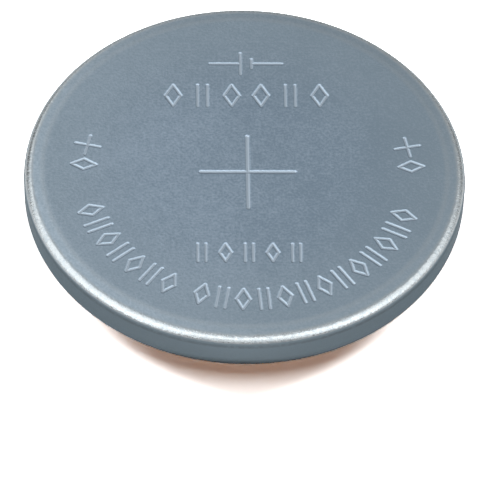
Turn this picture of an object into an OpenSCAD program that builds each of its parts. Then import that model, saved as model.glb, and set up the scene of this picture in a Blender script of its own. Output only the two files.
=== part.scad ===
// Rechargeable lithium coin cell, positive face up, resting on its negative cap.
// Millimetres. The origin is the centre of the negative face, and Z is the cell's axis.

/* [Cell] */
// Outside diameter of the can
cell_d = 12.5; // [12:0.1:16]
// Height from the negative face to the positive face
cell_h = 2.0; // [1.9:0.05:3]

/* [Positive can] */
// Thickness of the can's steel sheet
can_t = 0.2; // [0.15:0.01:0.25]
// Width of the shoulder band, from the wall's outside to the flat part of the positive face
shoulder_w = 0.55; // [0.4:0.05:0.8]
// Slope of the shoulder band, in degrees
shoulder_slope = 5; // [2:1:8]
// Outside radius of the corner between shoulder and wall
corner_r = 0.25; // [0.22:0.01:0.3]
// Height of the crimped edge above the negative face
crimp_z = 0.55; // [0.4:0.05:0.6]
// Outside radius of the crimped edge
curl_r = 0.65; // [0.6:0.01:0.75]
// Width of the crimped lip, from the wall's outside to its cut edge
lip_w = 0.7; // [0.62:0.01:0.8]

/* [Gasket] */
// Thickness of the gasket between can and cap
gasket_t = 0.2; // [0.15:0.01:0.25]
// Thickness of the gasket's inner wall
gasket_inner_t = 0.15; // [0.1:0.01:0.2]
// Gap between the gasket's inner wall and the bend at the foot of the cap's skirt
gasket_inner_gap = 0.03; // [0.01:0.01:0.1]
// Width of the gasket's visible ring, from the crimped lip to the cap's drum
gasket_ring_w = 0.3; // [0.2:0.05:0.5]
// Depth of the gasket's visible ring below the crimped edge
gasket_recess = 0.06; // [0.02:0.01:0.15]

/* [Negative cap] */
// Thickness of the cap's steel sheet
cap_t = 0.2; // [0.15:0.01:0.25]
// Outside radius of the drum's edge
cap_edge_r = 0.3; // [0.22:0.01:0.35]
// Radius of the bend from drum to flange, on the outside
cap_bend_r = 0.08; // [0.05:0.01:0.15]

/* [Electrodes] */
// Thickness of the steel disc that collects the cathode's current
collector_t = 0.05; // [0.03:0.01:0.1]
// Thickness of the separator
separator_t = 0.25; // [0.1:0.05:0.3]
// Thickness of the lithium alloy disc
anode_t = 0.5; // [0.3:0.05:0.6]
// Radial clearance between the separator and the cap's drum
separator_gap = 0.05; // [0.02:0.01:0.15]
// Radial clearance between the cathode pellet and the cap's drum
cathode_gap = 0.2; // [0.15:0.01:0.4]
// Radial clearance between the lithium alloy disc and the cap's drum
anode_gap = 0.3; // [0.25:0.01:0.5]
// Margin of the current collector inside the cathode pellet's edge
collector_margin = 0.2; // [0.1:0.05:0.5]

/* [Stamped marks] */
// Depth of the stamped grooves
groove_depth = 0.05; // [0.02:0.01:0.08]
// Width of the small marks' grooves
groove_w = 0.14; // [0.1:0.01:0.16]
// Width of the polarity cross's grooves
cross_groove_w = 0.18; // [0.12:0.01:0.2]
// Length of each arm of the polarity cross
cross_arm = 1.41; // [1:0.01:1.6]
// Shift of the stamping from the axis along X
stamp_x = 0.09; // [-0.15:0.01:0.15]
// Shift of the stamping from the axis along Y
stamp_y = -0.09; // [-0.15:0.01:0.15]
// Width of the cell symbol
symbol_w = 2.2; // [1.8:0.1:2.6]
// Height of the cell symbol
symbol_h = 0.94; // [0.7:0.02:1]
// Distance between the cell symbol's two plates
plate_gap = 0.32; // [0.25:0.01:0.5]
// Height of the cell symbol's middle above the cross
symbol_y = 4.12; // [4:0.02:4.2]
// Height of the marks in the upper row
upper_h = 0.94; // [0.7:0.02:1]
// Spacing of the marks in the upper row
upper_pitch = 0.84; // [0.75:0.01:0.9]
// Height of the upper row's middle above the cross
upper_y = 2.89; // [2.7:0.01:2.95]
// Height of the marks in the lower row
lower_h = 0.76; // [0.6:0.02:0.8]
// Spacing of the marks in the lower row
lower_pitch = 0.66; // [0.6:0.01:0.72]
// Depth of the lower row's middle below the cross
lower_y = 2.96; // [2.8:0.01:3.1]
// Distance from the flat face's edge to the middle of the ring of marks
ring_margin = 1.06; // [0.9:0.02:1.2]
// Height of the ring's marks, along the radius
ring_h = 0.84; // [0.6:0.02:0.9]
// Angle between neighbouring marks of the ring, in degrees
ring_step = 7.2; // [7:0.1:7.6]
// Angle between the two marks at each side, in degrees
side_step = 9; // [8:0.5:11]
// Width of a bead as a share of its height
bead_share = 0.62; // [0.5:0.02:0.66]
// Distance between a reel's bars as a share of their height
reel_share = 0.3; // [0.2:0.02:0.34]

/* [Hidden] */
$fn = 96;
// How far a cutting shape runs past what it cuts
cut = 0.02;
// Smallest fillet on the inside of a bend
least_r = 0.02;

can_r = cell_d / 2;
face_r = can_r - shoulder_w;
mouth_r = can_r - lip_w;
cap_r = mouth_r - gasket_ring_w;
skirt_r = can_r - can_t - gasket_t;
flange_z = crimp_z + can_t + gasket_t;
skirt_end_z = cell_h - can_t - gasket_t;
skirt_bend_r = curl_r - can_t - gasket_t;
gasket_bore_r = skirt_r - cap_t - gasket_inner_t;
gasket_inner_z = flange_z + cap_t + inner_radius(skirt_bend_r, cap_t) + gasket_inner_gap;
drum_bore_r = cap_r - cap_t;

anode_z = cap_t;
separator_z = anode_z + anode_t;
cathode_z = separator_z + separator_t;
collector_z = cell_h - can_t - collector_t;
cathode_r = drum_bore_r - cathode_gap;

ring_r = face_r - ring_margin;
// Middle angles of the ring's four groups of marks, counted from the front
lower_left_angle = -50.5;
lower_right_angle = 26.5;
left_angle = -98;
right_angle = 97;

nickel = [0.51, 0.57, 0.62];
foil = [0.6, 0.6, 0.6];
manganese = [0.1, 0.1, 0.11];
felt = [0.9, 0.9, 0.87];
lithium = [0.7, 0.71, 0.73];
polymer = [0.22, 0.23, 0.25];

// A fillet that shrinks with the distance inward from the sheet's outside
function inner_radius(outer, inset) = max(outer - inset, least_r);

function direction(angle) = [cos(angle), sin(angle)];

// What a fillet takes off a sharp corner, between two angles seen from the fillet's centre
module fillet_cut(centre, radius, from, to) {
    reach = radius + cut;
    difference() {
        polygon([centre, centre + reach * direction(from),
                 centre + reach / cos((to - from) / 2) * direction((from + to) / 2),
                 centre + reach * direction(to)]);
        translate(centre) circle(r = radius);
    }
}

// Half section of the space inside the can's outline, moved inward by inset, from left_r outward
module can_outline(inset, left_r = 0) {
    wall_r = can_r - inset;
    top_z = cell_h - inset;
    low_z = crimp_z + inset;
    corner = inner_radius(corner_r, inset);
    curl = inner_radius(curl_r, inset);
    flat_r = face_r - inset * tan(shoulder_slope / 2);
    corner_x = wall_r - corner;
    corner_drop = (corner + (corner_x - flat_r) * sin(shoulder_slope)) / cos(shoulder_slope);
    difference() {
        polygon([[left_r, low_z], [wall_r, low_z],
                 [wall_r, top_z - (wall_r - flat_r) * tan(shoulder_slope)],
                 [flat_r, top_z], [left_r, top_z]]);
        fillet_cut([corner_x, top_z - corner_drop], corner, 0, 90 - shoulder_slope);
        fillet_cut([wall_r - curl, low_z + curl], curl, -90, 0);
    }
}

// Half section of the space inside the cap's outline, moved inward by inset
module cap_outline(inset) {
    drum_r = cap_r - inset;
    outer_r = skirt_r - inset;
    shelf_z = flange_z + inset;
    edge = inner_radius(cap_edge_r, inset);
    rim = inner_radius(skirt_bend_r, inset);
    bend = cap_bend_r + inset;
    difference() {
        translate([0, inset]) square([outer_r, skirt_end_z - inset]);
        translate([drum_r, inset - cut]) square([outer_r, shelf_z - inset + cut - bend]);
        translate([drum_r + bend, inset - cut]) square([outer_r, shelf_z - inset + cut]);
        translate([drum_r + bend, shelf_z - bend]) circle(r = bend);
        fillet_cut([drum_r - edge, inset + edge], edge, -90, 0);
        fillet_cut([outer_r - rim, shelf_z + rim], rim, -90, 0);
    }
}

module can_section() {
    difference() {
        can_outline(0);
        can_outline(can_t);
        translate([-cut, crimp_z - cut]) square([mouth_r + cut, can_t + 2 * cut]);
    }
}

module cap_section() {
    difference() {
        cap_outline(0);
        cap_outline(cap_t);
        translate([-cut, skirt_end_z - cut]) square([skirt_r - cap_t + cut, 2 * cut]);
    }
}

module gasket_section() {
    difference() {
        can_outline(can_t, cap_r);
        difference() {
            cap_outline(0);
            translate([gasket_bore_r, gasket_inner_z])
                square([gasket_inner_t, skirt_end_z - gasket_inner_z + cut]);
        }
        translate([0, skirt_end_z - cut]) square([gasket_bore_r, cell_h]);
    }
}

// A straight groove with round ends, along X and centred
module stroke(length, width = groove_w) {
    half = (length - width) / 2;
    square([2 * half, width], center = true);
    translate([-half, 0]) circle(d = width);
    translate([half, 0]) circle(d = width);
}

// A lozenge of four grooves that share their round corners
module bead(height) {
    tip_x = (height * bead_share - groove_w) / 2;
    tip_y = (height - groove_w) / 2;
    for (side = [-1, 1]) {
        translate([side * tip_x, 0]) circle(d = groove_w);
        translate([0, side * tip_y]) circle(d = groove_w);
        for (end = [-1, 1])
            translate([side * tip_x / 2, end * tip_y / 2]) rotate(-side * end * atan2(tip_y, tip_x))
                square([norm([tip_x, tip_y]), groove_w], center = true);
    }
}

// Two upright grooves side by side
module reel(height) {
    for (side = [-1, 1]) translate([side * height * reel_share / 2, 0]) rotate(90) stroke(height);
}

module cross(height, width = groove_w) {
    stroke(height, width);
    rotate(90) stroke(height, width);
}

// One mark by its letter: b for a bead, r for a reel, c for a cross
module mark(kind, height) {
    if (kind == "b") bead(height);
    if (kind == "r") reel(height);
    if (kind == "c") cross(height);
}

module mark_row(kinds, pitch, height) {
    for (i = [0 : len(kinds) - 1])
        translate([(i - (len(kinds) - 1) / 2) * pitch, 0]) mark(kinds[i], height);
}

// Marks on the ring about a middle angle, counted from the front, with their tops toward the axis
module mark_arc(kinds, middle, step) {
    for (i = [0 : len(kinds) - 1])
        rotate(middle + (i - (len(kinds) - 1) / 2) * step)
            translate([0, -ring_r]) mark(kinds[i], ring_h);
}

// The circuit symbol of one cell: a long plate, a short plate and their leads
module cell_symbol() {
    lead = (symbol_w - plate_gap + groove_w) / 2;
    translate([-plate_gap / 2, 0]) rotate(90) stroke(symbol_h);
    translate([plate_gap / 2, 0]) rotate(90) stroke(symbol_h / 2);
    for (side = [-1, 1]) translate([side * (symbol_w - lead) / 2, 0]) stroke(lead);
}

module stamping() {
    translate([stamp_x, stamp_y]) {
        cross(2 * cross_arm, cross_groove_w);
        translate([0, symbol_y]) cell_symbol();
        translate([0, upper_y]) mark_row("brbbrb", upper_pitch, upper_h);
        translate([0, -lower_y]) mark_row("rbrbr", lower_pitch, lower_h);
        mark_arc("brbrbrb", lower_left_angle, ring_step);
        mark_arc("brbrbrbrbrbrb", lower_right_angle, ring_step);
        mark_arc("cb", left_angle, side_step);
        mark_arc("bc", right_angle, side_step);
    }
}

module positive_can() {
    color(nickel) difference() {
        rotate_extrude() can_section();
        translate([0, 0, cell_h - groove_depth]) linear_extrude(groove_depth + cut) stamping();
    }
}

module cathode_collector() {
    color(foil) translate([0, 0, collector_z])
        cylinder(r = cathode_r - collector_margin, h = collector_t);
}

module cathode_pellet() {
    color(manganese) translate([0, 0, cathode_z]) cylinder(r = cathode_r, h = collector_z - cathode_z);
}

module separator() {
    color(felt) translate([0, 0, separator_z])
        cylinder(r = drum_bore_r - separator_gap, h = separator_t);
}

module anode_disc() {
    color(lithium) translate([0, 0, anode_z]) cylinder(r = drum_bore_r - anode_gap, h = anode_t);
}

module gasket() {
    color(polymer) {
        rotate_extrude() gasket_section();
        rotate_extrude() translate([cap_r, crimp_z + gasket_recess])
            square([mouth_r - cap_r, can_t - gasket_recess + gasket_t / 2]);
    }
}

module negative_cap() {
    color(nickel) rotate_extrude() cap_section();
}

positive_can();
cathode_collector();
cathode_pellet();
separator();
anode_disc();
gasket();
negative_cap();
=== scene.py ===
"""Lithium coin cell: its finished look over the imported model.

The can and the cap are modelled in millimetres and shrunk to metres when they are finished. The
stage is in metres.
"""
import logging
import math
from contextlib import contextmanager
from dataclasses import dataclass, field
from enum import Enum
from typing import Callable, Iterator, Union

import bmesh
import bpy
from mathutils import Matrix, Vector


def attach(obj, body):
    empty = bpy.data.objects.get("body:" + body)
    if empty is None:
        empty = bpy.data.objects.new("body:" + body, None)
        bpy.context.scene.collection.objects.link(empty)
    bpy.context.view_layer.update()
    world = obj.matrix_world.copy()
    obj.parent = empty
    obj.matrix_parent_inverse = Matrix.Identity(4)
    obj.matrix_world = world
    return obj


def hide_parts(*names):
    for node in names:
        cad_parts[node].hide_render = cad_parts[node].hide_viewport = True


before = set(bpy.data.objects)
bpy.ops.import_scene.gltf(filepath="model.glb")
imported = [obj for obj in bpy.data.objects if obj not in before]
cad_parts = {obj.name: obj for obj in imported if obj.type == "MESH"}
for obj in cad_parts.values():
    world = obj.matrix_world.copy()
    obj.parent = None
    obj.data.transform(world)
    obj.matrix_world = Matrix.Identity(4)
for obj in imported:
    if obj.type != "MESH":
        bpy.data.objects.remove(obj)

log = logging.getLogger("coin_cell")

MM = 0.001
PHOTO_WIDTH = 500
QUARTER_TURN = math.pi / 2
# How far along Z the normal of a level face points, at the least
LEVEL = 0.9
# Between these heights lie most of the grain and nearly all of it
GRAIN_SPREAD = (0.35, 0.65)
GRAIN_REACH = (0.3, 0.7)
Colour = tuple[float, float, float]
Range = tuple[float, float]
Socket = bpy.types.NodeSocket
Value = Union[float, tuple, Socket]
Direction = tuple[float, float, float]
# Directions from the cell, as the camera sees it
LEFT, RIGHT = (-1, 0, 0), (1, 0, 0)
FRONT, BACK = (0, -1, 0), (0, 1, 0)
UP, LOW_FRONT = (0, 0, 1), (0, -1, 0.6)


def deselect_all() -> None:
    """Leaves nothing selected and nothing active, in object mode."""
    if bpy.context.object and bpy.context.object.mode != "OBJECT":
        bpy.ops.object.mode_set(mode="OBJECT")
    bpy.ops.object.select_all(action="DESELECT")
    bpy.context.view_layer.objects.active = None


def take(*pieces: bpy.types.Object) -> None:
    """Selects only these objects and makes the first one active.

    Args:
        pieces: The objects to select.
    """
    deselect_all()
    for piece in pieces:
        piece.select_set(True)
    bpy.context.view_layer.objects.active = pieces[0]


class Picker:
    """Picks parts of the mesh that is open in edit mode, by their place or direction."""

    def __init__(self, piece: bpy.types.Object) -> None:
        """Keeps the object whose mesh is open."""
        self.piece = piece

    def clear(self) -> bmesh.types.BMesh:
        """Drops the whole selection and returns the open mesh."""
        bpy.ops.mesh.select_all(action="DESELECT")
        return bmesh.from_edit_mesh(self.piece.data)

    def faces(self, test: Callable[[bmesh.types.BMFace], bool]) -> None:
        """Selects the faces that pass a test.

        Args:
            test: Says whether a face is wanted.
        """
        bpy.ops.mesh.select_mode(type="FACE")
        for face in self.clear().faces:
            face.select = test(face)
        bmesh.update_edit_mesh(self.piece.data)

    def edges(self, test: Callable[[bmesh.types.BMEdge], bool]) -> None:
        """Selects the edges that pass a test.

        Args:
            test: Says whether an edge is wanted.
        """
        bpy.ops.mesh.select_mode(type="EDGE")
        for edge in self.clear().edges:
            edge.select = test(edge)
        bmesh.update_edit_mesh(self.piece.data)

    def points(self, test: Callable[[bmesh.types.BMVert], bool]) -> None:
        """Selects the vertices that pass a test.

        Args:
            test: Says whether a vertex is wanted.
        """
        bpy.ops.mesh.select_mode(type="VERT")
        mesh = self.clear()
        for point in mesh.verts:
            point.select = test(point)
        mesh.select_flush(True)
        bmesh.update_edit_mesh(self.piece.data)

    def circle(self, radius: float, height: float, slack: float = 0.01) -> None:
        """Selects the edges of a circle about the axis.

        Args:
            radius: Radius of the circle.
            height: Height of the circle.
            slack: How far a point may be from the circle.
        """
        self.edges(lambda edge: all(
            abs(point.co.xy.length - radius) < slack and abs(point.co.z - height) < slack
            for point in edge.verts))


@contextmanager
def editing(piece: bpy.types.Object) -> Iterator[Picker]:
    """Opens an object's mesh in edit mode with nothing selected, and closes it at the end.

    Args:
        piece: The object to edit.

    Returns:
        A picker for the open mesh.
    """
    take(piece)
    bpy.ops.object.mode_set(mode="EDIT")
    picker = Picker(piece)
    picker.clear()
    yield picker
    bpy.ops.object.mode_set(mode="OBJECT")


def apply_modifier(piece: bpy.types.Object, kind: str, **settings: object) -> None:
    """Adds a modifier with its settings and applies it.

    Args:
        piece: The object that is finished by the modifier.
        kind: Blender's name for the modifier's type.
        settings: The modifier's settings by name.
    """
    take(piece)
    modifier = piece.modifiers.new(kind.title(), kind)
    for name, value in settings.items():
        setattr(modifier, name, value)
    bpy.ops.object.modifier_apply(modifier=modifier.name)


def drum(name: str, radius: float, low: float, high: float, sides: int) -> bpy.types.Object:
    """Adds a closed cylinder on the cell's axis.

    Args:
        name: Name of the object.
        radius: Radius of its wall.
        low: Height of its lower end.
        high: Height of its upper end.
        sides: Number of its sides.

    Returns:
        The cylinder.
    """
    deselect_all()
    bpy.ops.mesh.primitive_cylinder_add(
        vertices=sides, radius=radius, depth=high - low, location=(0, 0, (low + high) / 2))
    piece = bpy.context.object
    piece.name = name
    bpy.ops.object.transform_apply(location=True, rotation=True, scale=True)
    return piece


def round_off(radius: float, turn: float, segments: int) -> None:
    """Rounds the selected edges of the open mesh to a radius.

    Args:
        radius: Radius of the fillet.
        turn: Angle in degrees by which the surface turns at the edge.
        segments: Number of faces across the fillet.
    """
    bpy.ops.mesh.bevel(offset=radius * math.tan(math.radians(turn / 2)), segments=segments,
                       profile=0.5, affect="EDGES", clamp_overlap=False)


def thicken(piece: bpy.types.Object, thickness: float) -> None:
    """Gives a shell the thickness of its steel sheet, inward from its outside.

    Args:
        piece: The shell.
        thickness: Thickness of the sheet.
    """
    apply_modifier(piece, "SOLIDIFY", thickness=thickness, offset=-1, use_even_offset=True)


def hand_over(piece: bpy.types.Object, node: str, finish: bpy.types.Material,
              smooth: float) -> None:
    """Shades a finished piece, brings it to metres and puts it in its node's place.

    Args:
        piece: The finished piece, in millimetres.
        node: The node that it stands for.
        finish: The material of the whole piece.
        smooth: Largest angle in degrees between faces that are shaded as one surface.
    """
    take(piece)
    bpy.ops.object.shade_smooth_by_angle(angle=math.radians(smooth))
    apply_modifier(piece, "WEIGHTED_NORMAL", keep_sharp=True, weight=50)
    take(piece)
    piece.scale = (MM, MM, MM)
    bpy.ops.object.transform_apply(location=True, rotation=True, scale=True)
    piece.data.materials.clear()
    piece.data.materials.append(finish)
    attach(piece, "root")
    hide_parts(node)
    log.info("%s: %d faces in the place of %s", piece.name, len(piece.data.polygons), node)


class Sheet:
    """A node tree that is being laid out."""

    def __init__(self, tree: bpy.types.NodeTree) -> None:
        """Keeps the tree that nodes are added to."""
        self.tree = tree

    def add(self, kind: str, inputs: dict[Union[str, int], Value] | None = None,
            **settings: object) -> bpy.types.Node:
        """Adds a node, sets it and joins its inputs.

        Args:
            kind: Blender's type of the node.
            inputs: Values or sockets for its inputs, by name or number.
            settings: The node's own settings.

        Returns:
            The new node.
        """
        node = self.tree.nodes.new(kind)
        for name, value in settings.items():
            setattr(node, name, value)
        for key, value in (inputs or {}).items():
            self.join(value, node.inputs[key])
        return node

    def math(self, operation: str, first: Value, second: Value = 0.0) -> Socket:
        """Adds a sum and returns its result.

        Args:
            operation: Blender's name of the operation.
            first: First number.
            second: Second number.

        Returns:
            The socket that carries the result.
        """
        return self.add("ShaderNodeMath", {0: first, 1: second}, operation=operation).outputs[0]

    def ramp(self, value: Value, low: float, high: float, start: float = 0.0,
             end: float = 1.0, smooth: bool = True) -> Socket:
        """Maps a number from one range to another and clamps it.

        Args:
            value: The number.
            low: Value that gives start.
            high: Value that gives end.
            start: Result at and below low.
            end: Result at and above high.
            smooth: Whether the change eases in and out.

        Returns:
            The socket that carries the result.
        """
        node = self.add("ShaderNodeMapRange", {
            "Value": value, "From Min": low, "From Max": high, "To Min": start, "To Max": end},
            interpolation_type="SMOOTHSTEP" if smooth else "LINEAR")
        return node.outputs["Result"]

    def blend(self, share: Value, first: Value, second: Value) -> Socket:
        """Mixes two colours.

        Args:
            share: Share of the second colour.
            first: First colour.
            second: Second colour.

        Returns:
            The socket that carries the mixed colour.
        """
        first, second = ((*c, 1.0) if isinstance(c, tuple) else c for c in (first, second))
        node = self.add("ShaderNodeMix", {"Factor": share, 6: first, 7: second}, data_type="RGBA")
        return node.outputs[2]

    def between(self, share: Value, first: Value, second: Value) -> Socket:
        """Mixes two numbers.

        Args:
            share: Share of the second number.
            first: First number.
            second: Second number.

        Returns:
            The socket that carries the mixed number.
        """
        return self.add("ShaderNodeMix", {0: share, 2: first, 3: second},
                        data_type="FLOAT").outputs[0]

    def join(self, value: Value, socket: Socket) -> None:
        """Joins a socket to an input, or sets the input to a value.

        Args:
            value: The socket or the value.
            socket: The input.
        """
        if isinstance(value, Socket):
            self.tree.links.new(value, socket)
        else:
            socket.default_value = value

    def radius(self, place: Socket) -> Socket:
        """Works out how far a place is from the axis.

        Args:
            place: The place.

        Returns:
            The socket that carries the distance.
        """
        parts = self.add("ShaderNodeSeparateXYZ", {"Vector": place}).outputs
        flat = self.add("ShaderNodeCombineXYZ", {"X": parts["X"], "Y": parts["Y"]})
        return self.add("ShaderNodeVectorMath", {0: flat.outputs["Vector"]},
                        operation="LENGTH").outputs["Value"]

    def millimetres(self) -> Socket:
        """Adds the object's own coordinates in millimetres.

        Returns:
            The socket that carries them.
        """
        place = self.add("ShaderNodeTexCoord").outputs["Object"]
        scale = (1 / MM,) * 3
        return self.add("ShaderNodeMapping", {"Vector": place, "Scale": scale}).outputs["Vector"]


class Effect(Enum):
    """The effects that several finishes share."""

    GRAIN = "Fine grain"
    PATCHES = "Cloudy patches"
    ZONE = "Radial zone"
    LINES = "Turned lines"


class Effects:
    """Builds each shared effect once, as a node group, and places it in materials."""

    WIDE_GRAIN = 3.5
    WIDE_SHARE = 0.22

    def __init__(self) -> None:
        """Builds all the groups."""
        self.groups = {
            Effect.GRAIN: self._grain(),
            Effect.PATCHES: self._patches(),
            Effect.ZONE: self._zone(),
            Effect.LINES: self._lines(),
        }

    @staticmethod
    def _group(effect: Effect, inputs: dict[str, float | None],
               output: str) -> tuple[Sheet, bpy.types.Node, bpy.types.Node]:
        """Makes an empty group with named sockets.

        Args:
            effect: The effect that the group is for.
            inputs: Default of each number that goes in, and None for a vector.
            output: Name of the number that comes out.

        Returns:
            The group's sheet, its input node and its output node.
        """
        tree = bpy.data.node_groups.new(effect.value, "ShaderNodeTree")
        for name, default in inputs.items():
            kind = "NodeSocketVector" if default is None else "NodeSocketFloat"
            socket = tree.interface.new_socket(name=name, in_out="INPUT", socket_type=kind)
            if default is not None:
                socket.default_value = default
        tree.interface.new_socket(name=output, in_out="OUTPUT", socket_type="NodeSocketFloat")
        sheet = Sheet(tree)
        return sheet, sheet.add("NodeGroupInput"), sheet.add("NodeGroupOutput")

    def _grain(self) -> bpy.types.NodeTree:
        """Builds a rough matt grain of two sizes.

        Returns:
            The effect's group.
        """
        sheet, given, result = self._group(Effect.GRAIN, {"Vector": None, "Size": 0.04}, "Height")
        scale = sheet.math("DIVIDE", 1.0, given.outputs["Size"])
        fine = sheet.add("ShaderNodeTexNoise", {
            "Vector": given.outputs["Vector"], "Scale": scale, "Detail": 3.0, "Roughness": 0.65})
        wide = sheet.add("ShaderNodeTexNoise", {
            "Vector": given.outputs["Vector"], "Detail": 2.0,
            "Scale": sheet.math("DIVIDE", scale, self.WIDE_GRAIN)})
        height = sheet.math(
            "ADD", sheet.math("MULTIPLY", fine.outputs["Fac"], 1 - self.WIDE_SHARE),
            sheet.math("MULTIPLY", wide.outputs["Fac"], self.WIDE_SHARE))
        sheet.join(height, result.inputs["Height"])
        return sheet.tree

    def _patches(self) -> bpy.types.NodeTree:
        """Builds soft patches, such as stain or handling leaves on metal.

        Returns:
            The effect's group.
        """
        sheet, given, result = self._group(
            Effect.PATCHES, {"Vector": None, "Size": 1.0, "Cover": 0.5, "Softness": 0.2}, "Mask")
        scale = sheet.math("DIVIDE", 1.0, given.outputs["Size"])
        noise = sheet.add("ShaderNodeTexNoise", {
            "Vector": given.outputs["Vector"], "Scale": scale, "Detail": 4.0, "Roughness": 0.6,
            "Distortion": 0.4})
        middle = sheet.math("SUBTRACT", 1.0, given.outputs["Cover"])
        low = sheet.math("SUBTRACT", middle, given.outputs["Softness"])
        high = sheet.math("ADD", middle, given.outputs["Softness"])
        mask = sheet.ramp(noise.outputs["Fac"], low, high)
        sheet.join(mask, result.inputs["Mask"])
        return sheet.tree

    def _zone(self) -> bpy.types.NodeTree:
        """Builds a mask that rises from one distance from the axis to another.

        Returns:
            The effect's group.
        """
        sheet, given, result = self._group(
            Effect.ZONE, {"Vector": None, "From": 0.0, "To": 1.0}, "Mask")
        mask = sheet.ramp(sheet.radius(given.outputs["Vector"]),
                          given.outputs["From"], given.outputs["To"])
        sheet.join(mask, result.inputs["Mask"])
        return sheet.tree

    def _lines(self) -> bpy.types.NodeTree:
        """Builds fine lines that run round the axis, as drawing and turning leave them.

        Returns:
            The effect's group.
        """
        sheet, given, result = self._group(
            Effect.LINES, {"Vector": None, "Spacing": 0.05}, "Height")
        parts = sheet.add("ShaderNodeSeparateXYZ", {"Vector": given.outputs["Vector"]}).outputs
        turn = sheet.math("ARCTAN2", parts["Y"], parts["X"])
        across = sheet.math("DIVIDE", sheet.radius(given.outputs["Vector"]),
                            given.outputs["Spacing"])
        up = sheet.math("DIVIDE", parts["Z"], given.outputs["Spacing"])
        place = sheet.add("ShaderNodeCombineXYZ", {"X": across, "Y": up, "Z": turn})
        noise = sheet.add("ShaderNodeTexNoise", {
            "Vector": place.outputs["Vector"], "Scale": 1.0, "Detail": 2.0, "Roughness": 0.6})
        sheet.join(noise.outputs["Fac"], result.inputs["Height"])
        return sheet.tree

    def place(self, sheet: Sheet, effect: Effect, inputs: dict[str, Value]) -> Socket:
        """Places a shared effect in a material.

        Args:
            sheet: The material's sheet.
            effect: The effect to place.
            inputs: Its values and sockets.

        Returns:
            The socket that carries the effect's result.
        """
        return sheet.add("ShaderNodeGroup", inputs, node_tree=self.groups[effect]).outputs[0]


def empty_material(name: str) -> tuple[bpy.types.Material, Sheet]:
    """Makes a material without nodes.

    Args:
        name: Name of the material.

    Returns:
        The material and its sheet.
    """
    material = bpy.data.materials.new(name)
    material.use_nodes = True
    material.node_tree.nodes.clear()
    return material, Sheet(material.node_tree)


def new_material(name: str) -> tuple[bpy.types.Material, Sheet, bpy.types.Node]:
    """Makes a material that holds only a Principled BSDF and its output.

    Args:
        name: Name of the material.

    Returns:
        The material, its sheet and its shader.
    """
    material, sheet = empty_material(name)
    shader = sheet.add("ShaderNodeBsdfPrincipled")
    sheet.add("ShaderNodeOutputMaterial", {"Surface": shader.outputs["BSDF"]})
    return material, sheet, shader


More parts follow.
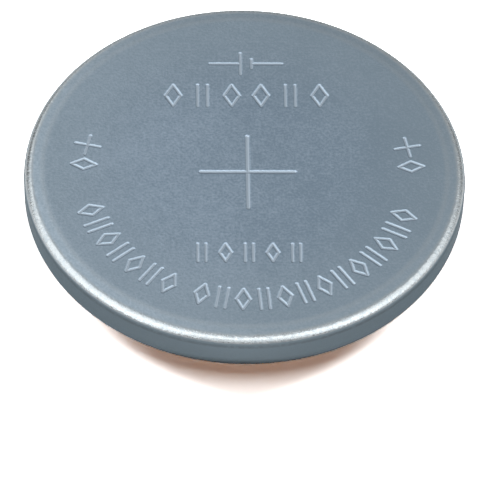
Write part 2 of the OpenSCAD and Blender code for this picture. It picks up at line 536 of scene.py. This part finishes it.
@dataclass(frozen=True)
class NickelFinish:
    """Nickel plate on pressed steel: matt, cloudy, worn and painted bright on its corner.

    Lengths are in millimetres. A range of lengths goes from where a zone starts to where it is
    full, and a range of shares gives a zone's weight at its least and at its most.
    """

    name: str
    plate: Colour
    cloud: Colour
    edge: Colour
    # Lighter plate on the corner: partly real wear, partly a painted highlight
    rubbed_and_highlight: Colour
    # Lighter tone in the pressed grooves: a painted highlight
    groove: Colour
    # Darker tone of the side wall: painted shade
    wall: Colour
    glance: Colour
    shoulder: Range
    corner: Range
    corner_height: Range
    # A thin dark line just under the corner: painted shade
    shade_line: Colour = (0.05, 0.062, 0.07)
    shade_line_top: Range = (1.8, 1.74)
    shade_line_foot: Range = (1.63, 1.69)
    shade_line_share: Range = (0.12, 0.34)
    corner_share: float = 0.88
    # Light line and band on the shoulder's fold: a painted highlight
    shoulder_highlight_share: Range = (0.1, 0.22)
    shoulder_fade: Range = (0.14, 0.02)
    speck_size: float = 0.12
    speck_cover: float = 0.55
    speck_softness: float = 0.08
    speck_share: Range = (0.7, 1.0)
    cloud_size: float = 2.2
    cloud_share: Range = (0.03, 0.17)
    grain_share: Range = (-0.18, 0.76)
    # Painted shade across the face: darker toward +X and toward +Y
    across: Range = (-6.0, 6.0)
    painted_shade_across: Range = (0.04, 0.4)
    along: Range = (-4.5, -1.5)
    painted_shade_along: Range = (0.0, 0.1)
    edge_zone: Range = (2.0, 6.0)
    edge_share: float = 0.45
    face_z: float = 2.0
    groove_r: float = 5.5
    groove_fade: float = 0.1
    groove_drop: Range = (0.004, 0.02)
    roughness: float = 0.4
    rubbed_roughness: float = 0.27
    roughness_spread: float = 0.05
    grain_size: float = 0.08
    grain_depth: float = 0.01
    face_grain: float = 0.6
    rim_grain: float = 1.5
    line_spacing: float = 0.05
    line_depth: float = 0.0015

    def rubbed_and_highlight_share(self, sheet: Sheet, effects: Effects, place: Socket,
                     specks: Socket) -> Socket:
        """Works out where the corner is worn and painted bright, and the shoulder painted bright.

        Args:
            sheet: The material's sheet.
            effects: The shared effects.
            place: The object's coordinates.
            specks: The mask of small specks that stay dull.

        Returns:
            The socket that carries the share of worn plate and painted highlight, seen from above.
        """
        def zone(first: float, last: float) -> Socket:
            """Masks what lies past a distance from the axis."""
            return effects.place(sheet, Effect.ZONE, {"Vector": place, "From": first, "To": last})

        # The corner's lighter tone is partly wear and partly a painted highlight
        corner = sheet.math("MULTIPLY", zone(*self.corner), self.corner_share)
        band_end = self.shoulder[1]
        # A light band on the shoulder, strongest at its fold: a painted highlight
        inner = zone(band_end + self.shoulder_fade[0], band_end + self.shoulder_fade[1])
        band = sheet.math("MULTIPLY", zone(*self.shoulder),
                          sheet.ramp(inner, 0.0, 1.0, *self.shoulder_highlight_share))
        return sheet.math("MULTIPLY", sheet.math("ADD", corner, band),
                          sheet.ramp(specks, 0.0, 1.0, *self.speck_share))

    def plate_tone(self, sheet: Sheet, effects: Effects, place: Socket, grain: Socket) -> Socket:
        """Mixes the plate's colour: cloudy, grained, duller toward its edge, with painted shade.

        Args:
            sheet: The material's sheet.
            effects: The shared effects.
            place: The object's coordinates.
            grain: The grain's height.

        Returns:
            The socket that carries the colour.
        """
        parts = sheet.add("ShaderNodeSeparateXYZ", {"Vector": place}).outputs
        cloud = effects.place(sheet, Effect.PATCHES, {"Vector": place, "Size": self.cloud_size})
        share = sheet.ramp(cloud, 0.0, 1.0, *self.cloud_share)
        for more in (sheet.ramp(grain, *GRAIN_SPREAD, *self.grain_share, smooth=False),
                     # Painted shade: the face gets darker toward +X and toward +Y
                     sheet.ramp(parts["X"], *self.across, *self.painted_shade_across),
                     sheet.ramp(parts["Y"], *self.along, *self.painted_shade_along)):
            share = sheet.math("ADD", share, more)
        tone = sheet.blend(share, self.plate, self.cloud)
        outer = effects.place(sheet, Effect.ZONE, {
            "Vector": place, "From": self.edge_zone[0], "To": self.edge_zone[1]})
        return sheet.blend(outer, tone, sheet.blend(self.edge_share, tone, self.edge))

    def build(self, effects: Effects) -> bpy.types.Material:
        """Builds the material.

        Args:
            effects: The shared effects.

        Returns:
            The material.
        """
        material, sheet, shader = new_material(self.name)
        place = sheet.millimetres()
        height = sheet.add("ShaderNodeSeparateXYZ", {"Vector": place}).outputs["Z"]
        grain = effects.place(sheet, Effect.GRAIN, {"Vector": place, "Size": self.grain_size})
        lines = effects.place(sheet, Effect.LINES, {
            "Vector": place, "Spacing": self.line_spacing})
        specks = effects.place(sheet, Effect.PATCHES, {
            "Vector": place, "Size": self.speck_size, "Cover": self.speck_cover,
            "Softness": self.speck_softness})
        # The side wall takes a darker tone, which is painted shade, and its drawn lines
        side = sheet.ramp(height, self.corner_height[1], self.corner_height[0])
        bright = sheet.math("MULTIPLY", self.rubbed_and_highlight_share(sheet, effects, place, specks),
                            sheet.math("SUBTRACT", 1.0, side))
        # A thin dark line painted just under the corner: painted shade
        shade_line = sheet.math("MULTIPLY", sheet.ramp(height, *self.shade_line_top),
                          sheet.ramp(height, *self.shade_line_foot))
        shade_line = sheet.math("MULTIPLY", shade_line, sheet.ramp(specks, 0.0, 1.0, *self.shade_line_share))
        # The pressed grooves take a lighter tone: a painted highlight
        inside = effects.place(sheet, Effect.ZONE, {
            "Vector": place, "From": self.groove_r + self.groove_fade, "To": self.groove_r})
        shallow, deep = (self.face_z - drop for drop in self.groove_drop)
        pressed = sheet.math("MULTIPLY", inside, sheet.ramp(height, shallow, deep))
        tone = self.plate_tone(sheet, effects, place, grain)
        for share, colour in ((side, self.wall), (shade_line, self.shade_line), (bright, self.rubbed_and_highlight),
                              (pressed, self.groove)):
            tone = sheet.blend(share, tone, colour)
        sheet.join(tone, shader.inputs["Base Color"])
        rough = sheet.math("ADD", self.roughness, sheet.ramp(
            grain, *GRAIN_REACH, -self.roughness_spread, self.roughness_spread))
        worn = sheet.ramp(bright, 0.0, 1.0, 0.0, self.rubbed_roughness - self.roughness)
        sheet.join(sheet.math("ADD", rough, worn), shader.inputs["Roughness"])
        shader.inputs["Metallic"].default_value = 1.0
        shader.inputs["Specular Tint"].default_value = (*self.glance, 1.0)
        coarse = sheet.ramp(bright, 0.0, 1.0, self.face_grain, self.rim_grain)
        grained = sheet.add("ShaderNodeBump", {
            "Height": sheet.math("MULTIPLY", grain, coarse), "Strength": 1.0,
            "Distance": self.grain_depth * MM})
        drawn = sheet.add("ShaderNodeBump", {
            "Height": sheet.math("MULTIPLY", lines, side), "Strength": 1.0,
            "Distance": self.line_depth * MM, "Normal": grained.outputs["Normal"]})
        sheet.join(drawn.outputs["Normal"], shader.inputs["Normal"])
        return material


@dataclass(frozen=True)
class DullFinish:
    """A plain stuff of one colour, such as moulded polymer, felt, foil or pressed powder."""

    name: str
    base: Colour
    shade: Colour
    roughness: float
    grain_size: float
    grain_depth: float
    patch_size: float
    metallic: float = 0.0
    roughness_spread: float = 0.08

    def build(self, effects: Effects) -> bpy.types.Material:
        """Builds the material.

        Args:
            effects: The shared effects.

        Returns:
            The material.
        """
        material, sheet, shader = new_material(self.name)
        place = sheet.millimetres()
        grain = effects.place(sheet, Effect.GRAIN, {"Vector": place, "Size": self.grain_size})
        patch = effects.place(sheet, Effect.PATCHES, {"Vector": place, "Size": self.patch_size})
        tone = sheet.blend(patch, self.base, self.shade)
        sheet.join(tone, shader.inputs["Base Color"])
        rough = sheet.ramp(grain, *GRAIN_REACH, self.roughness - self.roughness_spread,
                           self.roughness + self.roughness_spread)
        sheet.join(rough, shader.inputs["Roughness"])
        shader.inputs["Metallic"].default_value = self.metallic
        bump = sheet.add("ShaderNodeBump", {
            "Height": grain, "Distance": self.grain_depth * MM, "Strength": 1.0})
        sheet.join(bump.outputs["Normal"], shader.inputs["Normal"])
        return material


class Mark(Enum):
    """The plain marks that are stamped in rows, by their letter."""

    BEAD = "b"
    REEL = "r"
    CROSS = "c"


@dataclass
class Stamping:
    """The grooves pressed into the positive face, and the tools that cut them."""

    groove_w: float = 0.14
    cross_groove_w: float = 0.18
    cross_arm: float = 1.41
    shift: tuple[float, float] = (0.08, -0.14)
    symbol_w: float = 2.2
    symbol_h: float = 0.94
    plate_gap: float = 0.32
    symbol_y: float = 4.12
    upper_h: float = 0.94
    upper_pitch: float = 0.84
    upper_y: float = 2.89
    lower_h: float = 0.76
    lower_pitch: float = 0.66
    lower_y: float = 2.96
    ring_r: float = 4.64
    ring_h: float = 0.84
    ring_step: float = 7.2
    side_step: float = 9.0
    bead_share: float = 0.62
    reel_share: float = 0.3
    ring_middles: tuple[float, float, float, float] = (-50.5, 26.5, -98.0, 97.0)
    lip_share: float = 0.3
    wall_slope: float = 36.0
    tool_sides: int = 22
    tool_steps: int = 6
    tool_head: float = 0.05
    strokes: list[bpy.types.Object] = field(default_factory=list)

    def section(self, width: float) -> list[tuple[float, float]]:
        """Works out half the section of a groove, from the face down to its middle.

        Args:
            width: Width of the groove at the face.

        Returns:
            Distances from the middle and heights under the face.
        """
        slope = math.radians(self.wall_slope)
        reach = width / 2 / math.sin(slope)
        lip = reach * self.lip_share
        bowl = reach - lip
        depth = reach * (1 - math.cos(slope))
        points = []
        for step in range(self.tool_steps + 1):
            turn = slope * step / self.tool_steps
            points.append((width / 2 - lip * math.sin(turn), -lip * (1 - math.cos(turn))))
        for step in range(self.tool_steps - 1, 0, -1):
            turn = slope * step / self.tool_steps
            points.append((bowl * math.sin(turn), -depth + bowl * (1 - math.cos(turn))))
        return points

    def tool(self, width: float, face_z: float) -> bpy.types.Object:
        """Models the tool that cuts the shortest groove: a round bowl with a soft lip.

        Args:
            width: Width of the groove.
            face_z: Height of the face that it cuts.

        Returns:
            The tool, with its middle on the axis.
        """
        section = self.section(width)
        start, _ = section[0]
        deselect_all()
        bpy.ops.mesh.primitive_circle_add(
            vertices=self.tool_sides, radius=start, fill_type="NGON",
            location=(0, 0, face_z + self.tool_head), rotation=(0, 0, math.pi / self.tool_sides))
        piece = bpy.context.object
        bpy.ops.object.transform_apply(location=True, rotation=True, scale=True)
        with editing(piece):
            bpy.ops.mesh.select_all(action="SELECT")
            bpy.ops.mesh.extrude_region_move(
                TRANSFORM_OT_translate={"value": (0, 0, -self.tool_head)})
            for (wide, high), (narrow, low) in zip(section, section[1:]):
                bpy.ops.mesh.extrude_region_move(
                    TRANSFORM_OT_translate={"value": (0, 0, low - high)})
                bpy.ops.transform.resize(value=(narrow / wide, narrow / wide, 1))
            bpy.ops.mesh.select_all(action="SELECT")
            bpy.ops.mesh.normals_make_consistent(inside=False)
        return piece

    def stroke(self, tool: bpy.types.Object, length: float, width: float,
               place: Matrix) -> None:
        """Copies the tool, draws it out along X and puts the copy in its place.

        Args:
            tool: The tool to copy.
            length: Length of the groove.
            width: Width of the groove.
            place: Where the groove's middle goes, in the face's plane.
        """
        piece = tool.copy()
        piece.data = tool.data.copy()
        bpy.context.collection.objects.link(piece)
        with editing(piece) as pick:
            for side in (-1, 1):
                pick.points(lambda point: point.co.x * side > 0)
                bpy.ops.transform.translate(value=(side * (length - width) / 2, 0, 0))
        piece.data.transform(place)
        self.strokes.append(piece)

    def bars(self, mark: Mark, height: float) -> list[tuple[float, Matrix]]:
        """Lists the grooves of one small mark.

        Args:
            mark: Which mark it is.
            height: Height of the mark.

        Returns:
            Each groove's length and its place in the mark.
        """
        upright = Matrix.Rotation(QUARTER_TURN, 4, "Z")
        if mark is Mark.CROSS:
            return [(height, turn) for turn in (Matrix.Identity(4), upright)]
        if mark is Mark.REEL:
            half = height * self.reel_share / 2
            return [(height, Matrix.Translation((side * half, 0, 0)) @ upright)
                    for side in (-1, 1)]
        tip_x = (height * self.bead_share - self.groove_w) / 2
        tip_y = (height - self.groove_w) / 2
        slope = math.atan2(tip_y, tip_x)
        length = math.hypot(tip_x, tip_y) + self.groove_w
        return [(length, Matrix.Translation((side * tip_x / 2, end * tip_y / 2, 0))
                 @ Matrix.Rotation(-side * end * slope, 4, "Z"))
                for side in (-1, 1) for end in (-1, 1)]

    def marks(self) -> Iterator[tuple[Mark, float, Matrix]]:
        """Lists the small marks of the straight rows and of the ring.

        Returns:
            Each mark's kind, height and place in the stamping.
        """
        rows = (("brbbrb", self.upper_pitch, self.upper_h, self.upper_y),
                ("rbrbr", self.lower_pitch, self.lower_h, -self.lower_y))
        for letters, pitch, height, middle in rows:
            for number, letter in enumerate(letters):
                across = (number - (len(letters) - 1) / 2) * pitch
                yield Mark(letter), height, Matrix.Translation((across, middle, 0))
        arcs = (("brbrbrb", self.ring_step), ("brbrbrbrbrbrb", self.ring_step),
                ("cb", self.side_step), ("bc", self.side_step))
        for (letters, step), middle in zip(arcs, self.ring_middles):
            for number, letter in enumerate(letters):
                turn = math.radians(middle + (number - (len(letters) - 1) / 2) * step)
                yield Mark(letter), self.ring_h, (
                    Matrix.Rotation(turn, 4, "Z") @ Matrix.Translation((0, -self.ring_r, 0)))

    def build(self, face_z: float) -> list[bpy.types.Object]:
        """Lays out every groove's tool.

        Args:
            face_z: Height of the face.

        Returns:
            One object for each round of cutting.
        """
        fine = self.tool(self.groove_w, face_z)
        broad = self.tool(self.cross_groove_w, face_z)
        origin = Matrix.Translation((*self.shift, 0))
        upright = Matrix.Rotation(QUARTER_TURN, 4, "Z")
        for turn in (Matrix.Identity(4), upright):
            self.stroke(broad, 2 * self.cross_arm, self.cross_groove_w, origin @ turn)
        for mark, height, place in self.marks():
            for length, bar in self.bars(mark, height):
                self.stroke(fine, length, self.groove_w, origin @ place @ bar)
        middle = origin @ Matrix.Translation((0, self.symbol_y, 0))
        lead = (self.symbol_w - self.plate_gap + self.groove_w) / 2
        for side, height in ((-1, self.symbol_h), (1, self.symbol_h / 2)):
            plate = middle @ Matrix.Translation((side * self.plate_gap / 2, 0, 0)) @ upright
            self.stroke(fine, height, self.groove_w, plate)
            reach = side * (self.symbol_w - lead) / 2
            self.stroke(fine, lead, self.groove_w, middle @ Matrix.Translation((reach, 0, 0)))
        for tool in (fine, broad):
            bpy.data.objects.remove(tool)
        return [self.joined(group) for group in self.rounds()]

    def rounds(self) -> list[list[bpy.types.Object]]:
        """Sorts the tools into rounds in which no two of them meet, so that each cuts clean.

        Returns:
            The tools of each round.
        """
        groups: list[list[tuple[bpy.types.Object, Vector, Vector]]] = []
        for piece in self.strokes:
            points = [point.co.xy for point in piece.data.vertices]
            low = Vector(min(point[axis] for point in points) for axis in range(2))
            high = Vector(max(point[axis] for point in points) for axis in range(2))
            for group in groups:
                if all(high.x < a.x or b.x < low.x or high.y < a.y or b.y < low.y
                       for _, a, b in group):
                    group.append((piece, low, high))
                    break
            else:
                groups.append([(piece, low, high)])
        return [[piece for piece, _, _ in group] for group in groups]

    @staticmethod
    def joined(pieces: list[bpy.types.Object]) -> bpy.types.Object:
        """Joins objects into one.

        Args:
            pieces: The objects, of which the first one takes in the others.

        Returns:
            The joined object.
        """
        take(*pieces)
        bpy.ops.object.join()
        return bpy.context.object


@dataclass
class PositiveCan:
    """The drawn steel cup: stamped face, sloped shoulder, straight wall and crimped edge."""

    can_r: float = 6.25
    top_z: float = 2.0
    crimp_z: float = 0.55
    sheet_t: float = 0.2
    shoulder_w: float = 0.55
    shoulder_slope: float = 5.0
    corner_r: float = 0.25
    curl_r: float = 0.65
    lip_w: float = 0.7
    face_edge_r: float = 2.5
    corner_steps: int = 8
    curl_steps: int = 12
    face_edge_steps: int = 4
    sides: int = 256
    smooth_to: float = 12.0
    slack: float = 0.1
    stamping: Stamping = field(default_factory=Stamping)

    def body(self) -> bpy.types.Object:
        """Models the cup without its stamping.

        Returns:
            The cup, open at its lower end.
        """
        piece = drum("positive_can_shell", self.can_r, self.crimp_z, self.top_z, self.sides)
        drop = self.shoulder_w * math.tan(math.radians(self.shoulder_slope))
        with editing(piece) as pick:
            pick.faces(lambda face: face.normal.z > LEVEL)
            bpy.ops.mesh.inset(thickness=self.shoulder_w)
            pick.points(lambda point: point.co.xy.length > self.can_r - self.slack
                        and point.co.z > self.top_z - self.slack)
            bpy.ops.transform.translate(value=(0, 0, -drop))
            pick.faces(lambda face: face.normal.z < -LEVEL)
            bpy.ops.mesh.inset(thickness=self.lip_w)
            bpy.ops.mesh.delete(type="FACE")
            pick.circle(self.can_r, self.top_z - drop)
            round_off(self.corner_r, 90 - self.shoulder_slope, self.corner_steps)
            pick.circle(self.can_r, self.crimp_z)
            round_off(self.curl_r, 90, self.curl_steps)
            pick.circle(self.can_r - self.shoulder_w, self.top_z)
            round_off(self.face_edge_r, self.shoulder_slope, self.face_edge_steps)
        thicken(piece, self.sheet_t)
        return piece

    def build(self, finish: bpy.types.Material) -> bpy.types.Object:
        """Models the can with its stamping and hands it over.

        Args:
            finish: Its material.

        Returns:
            The finished can.
        """
        piece = self.body()
        for tools in self.stamping.build(self.top_z):
            apply_modifier(
                piece, "BOOLEAN", object=tools, operation="DIFFERENCE", solver="MANIFOLD")
            bpy.data.objects.remove(tools)
        hand_over(piece, "positive_can", finish, self.smooth_to)
        return piece


@dataclass
class NegativeCap:
    """The pressed steel cap that the cell stands on: drum, flange and skirt."""

    drum_r: float = 5.25
    flange_z: float = 0.95
    skirt_r: float = 5.85
    skirt_top_z: float = 1.6
    sheet_t: float = 0.2
    edge_r: float = 0.3
    bend_r: float = 0.08
    rim_r: float = 0.25
    edge_steps: int = 8
    bend_steps: int = 4
    rim_steps: int = 6
    sides: int = 256
    smooth_to: float = 40.0

    def build(self, finish: bpy.types.Material) -> bpy.types.Object:
        """Models the cap and hands it over.

        Args:
            finish: Its material.

        Returns:
            The finished cap.
        """
        piece = drum("negative_cap_shell", self.drum_r, 0, self.flange_z, self.sides)
        spread = self.skirt_r / self.drum_r
        with editing(piece) as pick:
            pick.faces(lambda face: face.normal.z > LEVEL)
            bpy.ops.mesh.delete(type="ONLY_FACE")
            pick.circle(self.drum_r, self.flange_z)
            bpy.ops.mesh.extrude_region_move(TRANSFORM_OT_translate={"value": (0, 0, 0)})
            bpy.ops.transform.resize(value=(spread, spread, 1))
            bpy.ops.mesh.extrude_region_move(
                TRANSFORM_OT_translate={"value": (0, 0, self.skirt_top_z - self.flange_z)})
            bpy.ops.mesh.select_all(action="SELECT")
            bpy.ops.mesh.normals_make_consistent(inside=False)
            pick.circle(self.drum_r, 0)
            round_off(self.edge_r, 90, self.edge_steps)
            pick.circle(self.drum_r, self.flange_z)
            round_off(self.bend_r, 90, self.bend_steps)
            pick.circle(self.skirt_r, self.flange_z)
            round_off(self.rim_r, 90, self.rim_steps)
        thicken(piece, self.sheet_t)
        hand_over(piece, "negative_cap", finish, self.smooth_to)
        return piece


@dataclass(frozen=True)
class Softbox:
    """A soft lamp that faces the cell and lights matt surfaces, as the floor is."""

    name: str
    direction: Direction
    distance: float
    size: tuple[float, float]
    radiance: float
    colour: Colour = (1.0, 1.0, 1.0)

    def build(self) -> None:
        """Adds the lamp."""
        data = bpy.data.lights.new(self.name, "AREA")
        data.shape = "RECTANGLE"
        data.size, data.size_y = self.size
        data.energy = self.radiance * math.pi * self.size[0] * self.size[1]
        data.color = self.colour
        lamp = bpy.data.objects.new(self.name, data)
        bpy.context.collection.objects.link(lamp)
        aim = Vector(self.direction).normalized()
        lamp.location = aim * self.distance
        lamp.rotation_euler = aim.to_track_quat("Z", "Y").to_euler()
        lamp.visible_glossy = False


@dataclass(frozen=True)
class Panel:
    """A part of the room as bright metal sees it, with soft edges.

    Each edge is a direction, how far toward it the panel starts and how far it is full.
    """

    radiance: float
    edges: tuple[tuple[Direction, float, float], ...]

    def mask(self, sheet: Sheet, way: Socket) -> Socket:
        """Works out how far a direction lies inside the panel.

        Args:
            sheet: The world's sheet.
            way: The direction that is looked at.

        Returns:
            The socket that carries 0 outside to 1 inside.
        """
        inside = None
        for across, start, full in self.edges:
            reach = sheet.add("ShaderNodeVectorMath", {0: way, 1: across}, operation="DOT_PRODUCT")
            part = sheet.ramp(reach.outputs["Value"], start, full)
            inside = part if inside is None else sheet.math("MULTIPLY", inside, part)
        return inside


@dataclass
class Studio:
    """The pale floor, the soft light round the cell and the camera."""

    floor_half: float = 1.0
    floor_gap: float = 0.00002
    floor_clear: float = 0.0006
    floor_tone: float = 0.85
    floor_mirrored: float = 1.15
    floor_shown: float = 3.0
    fill: float = 0.006
    room: float = 0.53
    panels: tuple[Panel, ...] = (
        Panel(0.5, ((BACK, 0.2, 0.7), (UP, 0.62, 0.3))),
        Panel(1.35, ((LEFT, -0.02, 0.28), (LEFT, 0.65, 0.35), (UP, 0.3, 0.55))),
        Panel(0.85, ((RIGHT, 0.05, 0.5), (RIGHT, 0.75, 0.45), (UP, 0.3, 0.55))),
        Panel(0.15, ((LEFT, 0.4, 0.6), (BACK, 0.5, 0.6), (UP, 0.5, 0.3))),
        Panel(0.3, ((RIGHT, 0.4, 0.6), (BACK, 0.5, 0.6), (UP, 0.42, 0.25))),
        Panel(2.15, ((LEFT, 0.03, 0.35), (LOW_FRONT, -0.32, -0.12), (UP, 0.0, 0.25))),
        Panel(1.9, ((RIGHT, 0.12, 0.5), (LOW_FRONT, -0.25, 0.02), (UP, 0.0, 0.25))),
        Panel(2.8, ((FRONT, 0.1, 0.27), (UP, 0.26, 0.32))),
        Panel(1.25, (
            (FRONT, 0.42, 0.78), (RIGHT, 0.6, 0.35), (LEFT, 0.6, 0.35), (UP, 0.26, 0.32))),
        Panel(0.2, ((FRONT, 0.0, 0.3), (UP, 0.3, 0.24))),
    )
    elevation: float = 49.165
    azimuth: float = -2.014
    roll: float = 1.615
    distance: float = 0.12404
    sensor_mm: float = 36.0
    clip: Range = (0.01, 10.0)
    target_z: float = 0.002
    focal_px: float = 4385.4
    target_px: tuple[float, float] = (244.86, 168.13)
    lamps: tuple[Softbox, ...] = (
        Softbox("key", (0.0, -0.1, 1.0), 0.15, (0.02, 0.12), 11.0),
        Softbox("left", (-1.0, 0.5, 0.7), 0.15, (0.05, 0.05), 20.0),
        Softbox("right", (1.0, 0.5, 0.7), 0.15, (0.05, 0.05), 20.0),
        Softbox("warm_fill", (0.0, -0.9, 0.45), 0.15, (0.2, 0.05), 1.2, (1.0, 0.33, 0.0)),
    )

    def floor(self) -> None:
        """Adds the floor, which is see-through from below and for what all but touches it."""
        deselect_all()
        bpy.ops.mesh.primitive_plane_add(
            size=2 * self.floor_half, location=(0, 0, -self.floor_gap))
        piece = bpy.context.object
        piece.name = "floor"
        material, sheet = empty_material("pale_floor")
        geometry = sheet.add("ShaderNodeNewGeometry")
        path = sheet.add("ShaderNodeLightPath")
        mirrored = sheet.math(
            "MAXIMUM", path.outputs["Is Glossy Ray"], path.outputs["Is Transmission Ray"])
        tone = sheet.blend(mirrored, (self.floor_tone,) * 3, (self.floor_mirrored,) * 3)
        tone = sheet.blend(path.outputs["Is Camera Ray"], tone, (self.floor_shown,) * 3)
        matt = sheet.add("ShaderNodeBsdfDiffuse", {"Color": tone})
        near = sheet.math("LESS_THAN", path.outputs["Ray Length"], self.floor_clear)
        open_share = sheet.math("MAXIMUM", geometry.outputs["Backfacing"], near)
        clear = sheet.add("ShaderNodeBsdfTransparent")
        mixed = sheet.add("ShaderNodeMixShader", {
            0: open_share, 1: matt.outputs["BSDF"], 2: clear.outputs["BSDF"]})
        sheet.add("ShaderNodeOutputMaterial", {"Surface": mixed.outputs["Shader"]})
        piece.data.materials.append(material)

    def world(self) -> None:
        """Fills the room: plain light for matt surfaces, panels for metal, white behind."""
        world = bpy.data.worlds.new("studio")
        world.use_nodes = True
        world.node_tree.nodes.clear()
        world.cycles.sampling_method = "NONE"
        bpy.context.scene.world = world
        sheet = Sheet(world.node_tree)
        way = sheet.add("ShaderNodeTexCoord").outputs["Generated"]
        shown = self.room
        for panel in self.panels:
            shown = sheet.between(panel.mask(sheet, way), shown, panel.radiance)
        path = sheet.add("ShaderNodeLightPath")
        lit = sheet.between(path.outputs["Is Glossy Ray"], self.fill, shown)
        seen = sheet.between(path.outputs["Is Camera Ray"], lit, 1.0)
        background = sheet.add("ShaderNodeBackground", {"Strength": seen, "Color": (1, 1, 1, 1)})
        sheet.add("ShaderNodeOutputWorld", {"Surface": background.outputs["Background"]})

    def camera(self) -> None:
        """Adds the camera where the photograph was taken from."""
        half = PHOTO_WIDTH / 2
        pan = math.atan((half - self.target_px[0]) / self.focal_px)
        tilt = math.atan((half - self.target_px[1]) / self.focal_px)
        aim = (Matrix.Rotation(math.radians(self.azimuth), 4, "Z")
               @ Matrix.Rotation(math.radians(90 - self.elevation), 4, "X"))
        back = aim @ Vector((0, 0, 1))
        turned = (aim @ Matrix.Rotation(math.radians(self.roll), 4, "Z")
                  @ Matrix.Rotation(-tilt, 4, "X") @ Matrix.Rotation(-pan, 4, "Y"))
        data = bpy.data.cameras.new("camera")
        data.sensor_width = self.sensor_mm
        data.lens = self.focal_px / PHOTO_WIDTH * data.sensor_width
        data.clip_start, data.clip_end = self.clip
        camera = bpy.data.objects.new("camera", data)
        bpy.context.collection.objects.link(camera)
        camera.rotation_euler = turned.to_euler()
        camera.location = Vector((0, 0, self.target_z)) + back * self.distance
        bpy.context.scene.camera = camera

    def build(self) -> None:
        """Sets up the whole studio."""
        self.floor()
        self.world()
        for lamp in self.lamps:
            lamp.build()
        self.camera()
        bpy.context.scene.view_settings.view_transform = "Standard"


CAN_FINISH = NickelFinish(
    name="nickel_can_matt", plate=(0.33, 0.41, 0.5), cloud=(0.18, 0.24, 0.302),
    edge=(0.25, 0.31, 0.35), rubbed_and_highlight=(0.42, 0.455, 0.47), groove=(0.325, 0.39, 0.455),
    wall=(0.146, 0.191, 0.223), glance=(0.6, 0.65, 0.68), shoulder=(5.6, 5.72),
    corner=(5.94, 6.09), corner_height=(1.8, 1.87))
CAP_FINISH = NickelFinish(
    name="nickel_cap_matt", plate=(0.33, 0.39, 0.45), cloud=(0.28, 0.34, 0.4),
    edge=(0.31, 0.37, 0.42), rubbed_and_highlight=(0.5, 0.54, 0.56), groove=(0.33, 0.39, 0.45),
    wall=(0.25, 0.3, 0.35), glance=(0.6, 0.62, 0.65), shoulder=(4.8, 4.95),
    corner=(4.95, 5.1), corner_height=(0.3, 0.2), face_z=-1.0, rim_grain=0.6)
DULL_FINISHES = {
    "gasket": DullFinish(
        name="gasket_moulded", base=(0.04231, 0.04817, 0.05781),
        shade=(0.0319, 0.03689, 0.04519), roughness=0.45, grain_size=0.03, grain_depth=0.002,
        patch_size=0.8),
    "cathode_collector": DullFinish(
        name="collector_steel", base=(0.56, 0.56, 0.55), shade=(0.5, 0.5, 0.5), roughness=0.35,
        grain_size=0.05, grain_depth=0.001, patch_size=1.5, metallic=1.0),
    "cathode_pellet": DullFinish(
        name="cathode_powder", base=(0.02, 0.02, 0.022), shade=(0.035, 0.034, 0.035),
        roughness=0.8, grain_size=0.05, grain_depth=0.01, patch_size=0.4),
    "separator": DullFinish(
        name="separator_felt", base=(0.78, 0.77, 0.73), shade=(0.7, 0.69, 0.65), roughness=0.9,
        grain_size=0.04, grain_depth=0.02, patch_size=0.7),
    "anode_disc": DullFinish(
        name="lithium_alloy", base=(0.5, 0.5, 0.52), shade=(0.38, 0.38, 0.4), roughness=0.5,
        grain_size=0.08, grain_depth=0.004, patch_size=1.0, metallic=1.0),
}


def dress_nodes(effects: Effects) -> None:
    """Gives the nodes that stay as they are their own finishes.

    Args:
        effects: The shared effects.
    """
    for name, finish in DULL_FINISHES.items():
        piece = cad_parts[name]
        piece.data.materials.clear()
        piece.data.materials.append(finish.build(effects))
        log.info("%s: %s", name, finish.name)


def main() -> None:
    """Builds the cell and the studio."""
    logging.basicConfig(level=logging.INFO, format="%(message)s")
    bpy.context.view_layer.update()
    effects = Effects()
    PositiveCan().build(CAN_FINISH.build(effects))
    NegativeCap().build(CAP_FINISH.build(effects))
    dress_nodes(effects)
    Studio().build()


if __name__ == "__main__":
    main()
